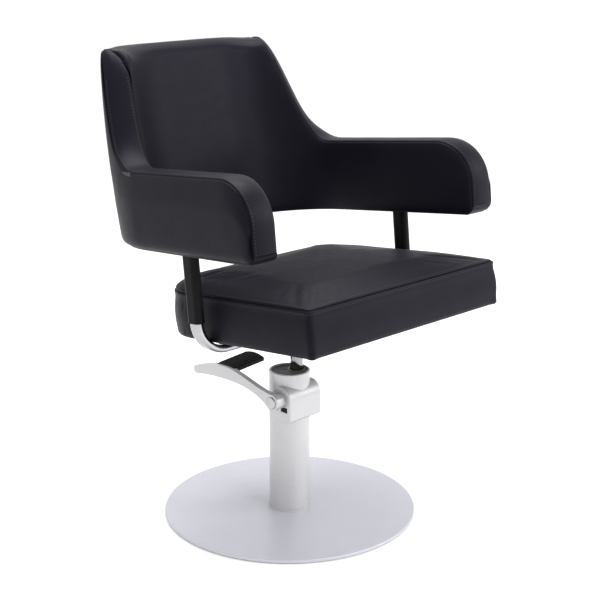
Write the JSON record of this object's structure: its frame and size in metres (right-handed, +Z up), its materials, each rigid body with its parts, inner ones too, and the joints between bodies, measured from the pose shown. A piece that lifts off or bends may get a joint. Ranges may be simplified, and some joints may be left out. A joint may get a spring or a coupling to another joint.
{
  "type": "styling chair",
  "caption": "Hydraulic salon styling chair: round flat base, foot-pumped column, chromed flat-oval U frame, boxed seat cushion and one-piece wrap-around back and arms in black leatherette.",
  "frame": {"origin": "centre of the base disc, on the floor", "axes": "+Z up; the sitter faces -Y; the sitter's right is -X, the side of the foot pedal's hub"},
  "size_m": [0.6526, 0.6948, 0.9407],
  "materials": {
    "rubber_black": "matt moulded rubber",
    "disc_steel": "fine satin steel",
    "zinc_steel": "zinc plated",
    "pump_paint": "silver grey hammer paint, semi-gloss",
    "cap_grey": "dark grey paint",
    "bright_chrome": "polished",
    "turned_steel": "turned and oiled",
    "spring_steel": "oiled spring wire",
    "bronze": "turned bronze",
    "black_paint": "satin black powder coat",
    "plywood": "raw moulded plywood",
    "upholstery": "black leatherette, fine grain, soft sheen",
    "foam_pad": null,
    "dust_cloth": "black non-woven cloth"
  },
  "bodies": {
    "base": {"base_disc": "disc_steel", "base_mat": "rubber_black", "disc_screws": "zinc_steel", "pump_foot": "turned_steel", "foot_ring": "pump_paint", "pump_body": "pump_paint", "stop_bumper": "rubber_black", "pressure_tube": "turned_steel", "tube_spacer": "turned_steel", "top_cap": "cap_grey", "oil_filler_screw": "zinc_steel", "ram_gland": "bronze", "wiper_seal": "rubber_black", "pump_barrel": "turned_steel", "plunger_spring": "spring_steel", "return_spring": "spring_steel", "shaft_bush": "bronze"},
    "pedal": {"pedal_shaft": "bright_chrome", "shaft_circlip": "zinc_steel", "pedal_hub": "pump_paint", "hub_set_screw": "zinc_steel", "hub_cap": "bright_chrome", "pump_rocker": "turned_steel", "pedal_arm": "pump_paint", "pedal_plate": "black_paint", "pedal_pad": "rubber_black", "pedal_rivets": "zinc_steel"},
    "plunger": {"plunger": "turned_steel"},
    "piston": {"piston_head": "turned_steel", "piston_seal": "rubber_black"},
    "seat": {"ram_rod": "bright_chrome", "rod_circlip": "zinc_steel", "taper_socket": "black_paint", "socket_ribs": "black_paint", "mount_plate": "black_paint", "seat_bolts": "zinc_steel", "seat_tee_nuts": "zinc_steel", "frame_tube": "bright_chrome", "post_sleeve_left": "black_paint", "post_sleeve_right": "black_paint", "arm_bracket_left": "black_paint", "arm_bracket_right": "black_paint", "arm_screws": "zinc_steel", "shell_core": "plywood", "shell_inner_pad": "foam_pad", "shell_outer_pad": "foam_pad", "shell_bottom_strip": "dust_cloth", "side_tag": "upholstery", "seat_board": "plywood", "seat_dust_cover": "dust_cloth", "seat_cushion": "foam_pad"}
  },
  "joints": [
    {"name": "ram_lift", "type": "slide", "parent": "base", "child": "piston", "axis": [0, 0, 1], "range_m": [0, 0.15]},
    {"name": "seat_swivel", "type": "hinge", "parent": "piston", "child": "seat", "pos_m": [0.02, 0, 0.2], "axis": [0, 0, 1], "continuous": true},
    {"name": "pedal_lever", "type": "hinge", "parent": "base", "child": "pedal", "pos_m": [-0.052, -0.02, 0.255], "axis": [-1, 0, 0], "range_deg": [0, 28], "stiffness_Nm_per_rad": 6, "springref_deg": -28.65},
    {"name": "plunger_stroke", "type": "slide", "parent": "base", "child": "plunger", "axis": [0, 0, -1], "range_m": [0, 0.0098], "deforming": ["plunger_spring"]}
  ],
  "couplings": [
    {"joint": "plunger_stroke", "follows": "pedal_lever", "m_per_rad": 0.02}
  ]
}
